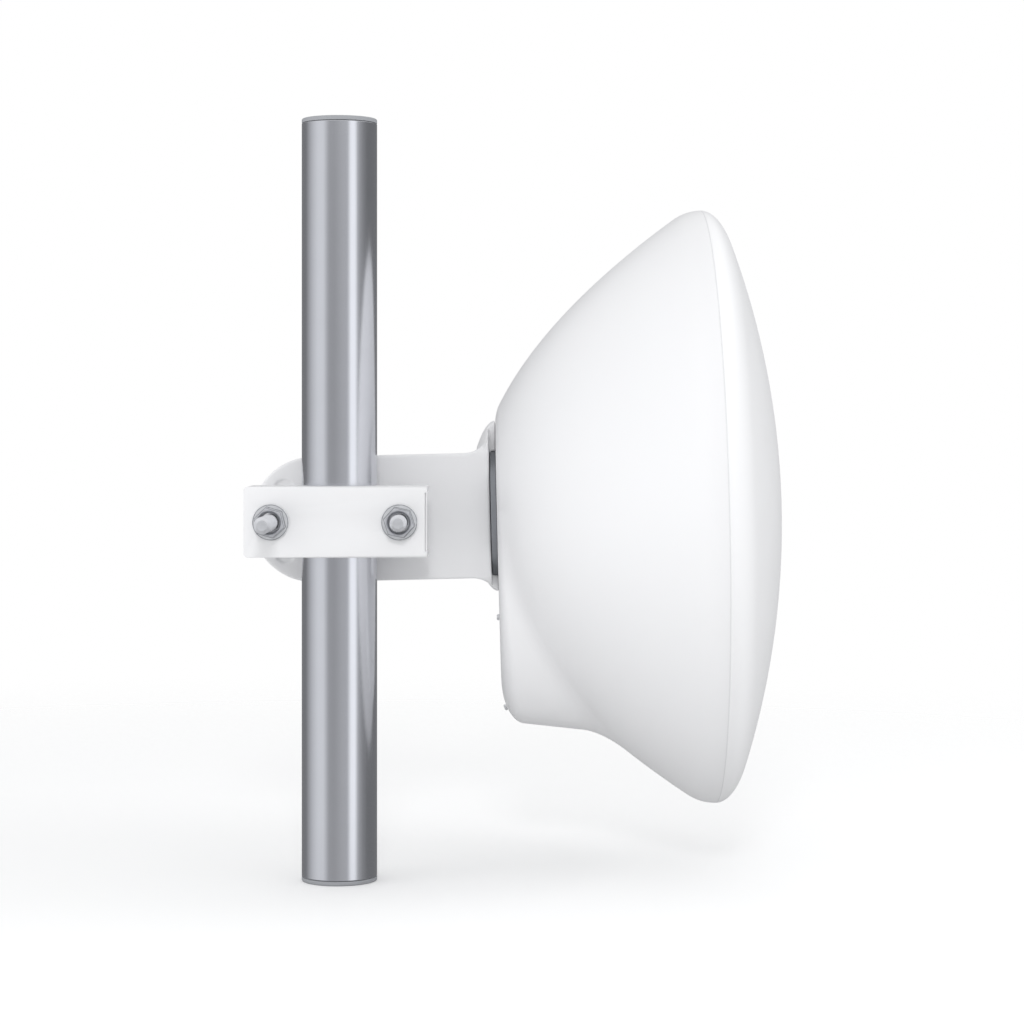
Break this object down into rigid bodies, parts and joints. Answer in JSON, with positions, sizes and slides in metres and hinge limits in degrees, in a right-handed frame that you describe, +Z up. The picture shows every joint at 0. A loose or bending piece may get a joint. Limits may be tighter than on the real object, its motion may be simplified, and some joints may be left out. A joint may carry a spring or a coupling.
{
  "type": "parabolic dish antenna",
  "caption": "Round parabolic dish antenna with a domed radome on a cast tilting arm, bolted by a channel clamp to a short length of round pole.",
  "frame": {"origin": "centre of the pole's foot face", "axes": "+Z up along the pole, +X the way the dish faces, -Y the side with the channel clamp and the nuts"},
  "size_m": [0.3646, 0.4112, 0.514],
  "materials": {
    "pole": "smooth drawn steel with soft lengthwise reflections",
    "plug": "matte moulded plastic",
    "paint": "satin white powder coat",
    "fastener": "bright plated steel",
    "shell": "satin white moulded plastic with fine grain",
    "radome": "smooth satin white moulded plastic",
    "rubber": "matte grey sealing rubber"
  },
  "bodies": {
    "pole": {"pole_tube": "pole", "pole_top_plug": "plug", "pole_foot_plug": "plug"},
    "clamp": {"clamp_channel": "paint", "pivot_bolt": "fastener", "pivot_nut": "fastener", "pivot_washer_near": "fastener", "pivot_washer_far": "fastener", "slot_bolt": "fastener", "slot_nut": "fastener", "slot_washer_near": "fastener", "slot_washer_far": "fastener"},
    "head": {"mount_arm": "paint", "hub_pad": "rubber", "hub_screw_top": "fastener", "hub_screw_bottom": "fastener", "rear_shell": "shell", "port_cover": "shell", "cover_screw_top": "fastener", "cover_screw_bottom": "fastener", "rim_gasket": "rubber", "radome": "radome"}
  },
  "joints": [
    {"name": "azimuth", "type": "hinge", "parent": "pole", "child": "clamp", "pos_m": [0, 0, 0.2433], "axis": [0, 0, 1], "range_deg": [-180, 180]},
    {"name": "elevation", "type": "hinge", "parent": "clamp", "child": "head", "pos_m": [0.04245, 0, 0.2433], "axis": [0, -1, 0], "range_deg": [-12.6, 9.9]}
  ]
}
